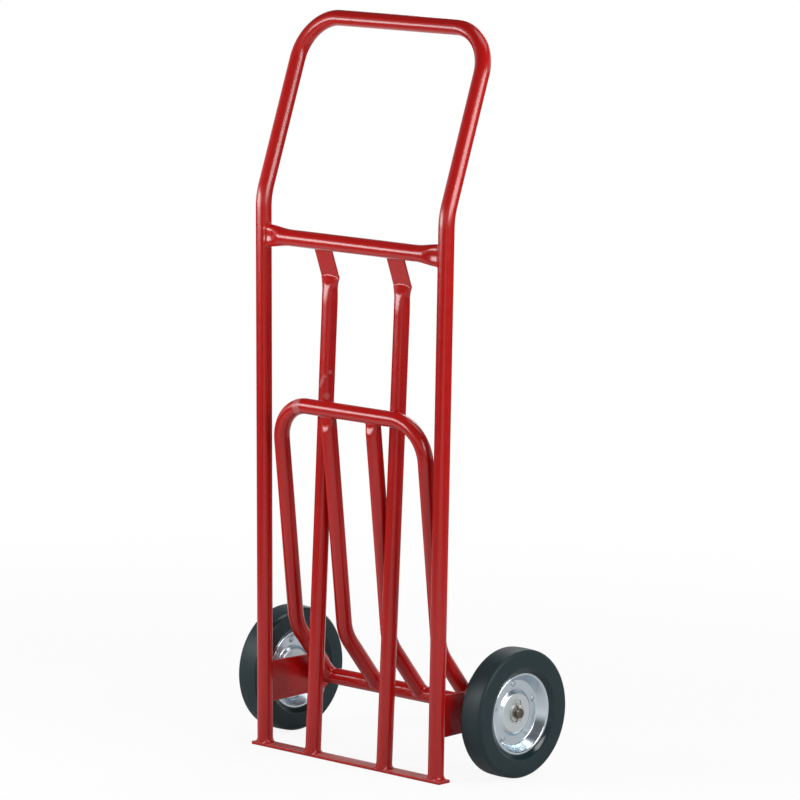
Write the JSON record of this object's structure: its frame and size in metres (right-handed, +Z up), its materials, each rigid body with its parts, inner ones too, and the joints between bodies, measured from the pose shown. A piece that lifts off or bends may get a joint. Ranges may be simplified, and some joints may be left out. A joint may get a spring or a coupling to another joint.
{
  "type": "folding hand truck",
  "caption": "Tubular steel hand truck with a looped handle, two solid rubber wheels on a cross axle and a tubular nose that hinges on the axle and stands folded against the back.",
  "frame": {"origin": "on the floor under the toe plate, midway between the uprights and in line with their lower length", "axes": "+X to the right seen from the load side, +Y back towards the wheels, +Z up"},
  "size_m": [0.5348, 0.2365, 1.1877],
  "materials": {
    "red_paint": "gloss red powder coat",
    "tyre_rubber": "smooth dark grey solid rubber",
    "hub_chrome": "bright plated steel sheet",
    "bare_steel": "plain turned steel",
    "bush_nylon": "black moulded nylon"
  },
  "bodies": {
    "frame": {"frame_tube": "red_paint", "upper_crossbar": "red_paint", "toe_plate": "red_paint", "left_centre_tube": "red_paint", "right_centre_tube": "red_paint", "left_axle_bracket": "red_paint", "right_axle_bracket": "red_paint", "axle": "bare_steel", "left_thrust_washer": "bare_steel", "right_thrust_washer": "bare_steel", "left_inner_hub_washer": "bare_steel", "right_inner_hub_washer": "bare_steel", "left_outer_hub_washer": "bare_steel", "right_outer_hub_washer": "bare_steel", "left_cotter_pin": "bare_steel", "right_cotter_pin": "bare_steel"},
    "nose": {"nose_loop": "red_paint", "left_nose_prong": "red_paint", "right_nose_prong": "red_paint", "nose_pivot_tube": "red_paint", "left_pivot_bush": "bush_nylon", "right_pivot_bush": "bush_nylon"},
    "left_wheel": {"left_wheel_tyre": "tyre_rubber", "left_wheel_outer_disc": "hub_chrome", "left_wheel_inner_disc": "hub_chrome", "left_wheel_hub_barrel": "hub_chrome", "left_wheel_inner_bearing": "bare_steel", "left_wheel_outer_bearing": "bare_steel", "left_wheel_disc_rivets": "hub_chrome"},
    "right_wheel": {"right_wheel_tyre": "tyre_rubber", "right_wheel_outer_disc": "hub_chrome", "right_wheel_inner_disc": "hub_chrome", "right_wheel_hub_barrel": "hub_chrome", "right_wheel_inner_bearing": "bare_steel", "right_wheel_outer_bearing": "bare_steel", "right_wheel_disc_rivets": "hub_chrome"}
  },
  "joints": [
    {"name": "nose_fold", "type": "hinge", "parent": "frame", "child": "nose", "pos_m": [0, 0.1165, 0.103], "axis": [1, 0, 0], "range_deg": [0, 86]},
    {"name": "left_wheel_spin", "type": "hinge", "parent": "frame", "child": "left_wheel", "pos_m": [-0.24521, 0.1165, 0.103], "axis": [1, 0, 0], "continuous": true},
    {"name": "right_wheel_spin", "type": "hinge", "parent": "frame", "child": "right_wheel", "pos_m": [0.24521, 0.1165, 0.103], "axis": [1, 0, 0], "continuous": true}
  ]
}
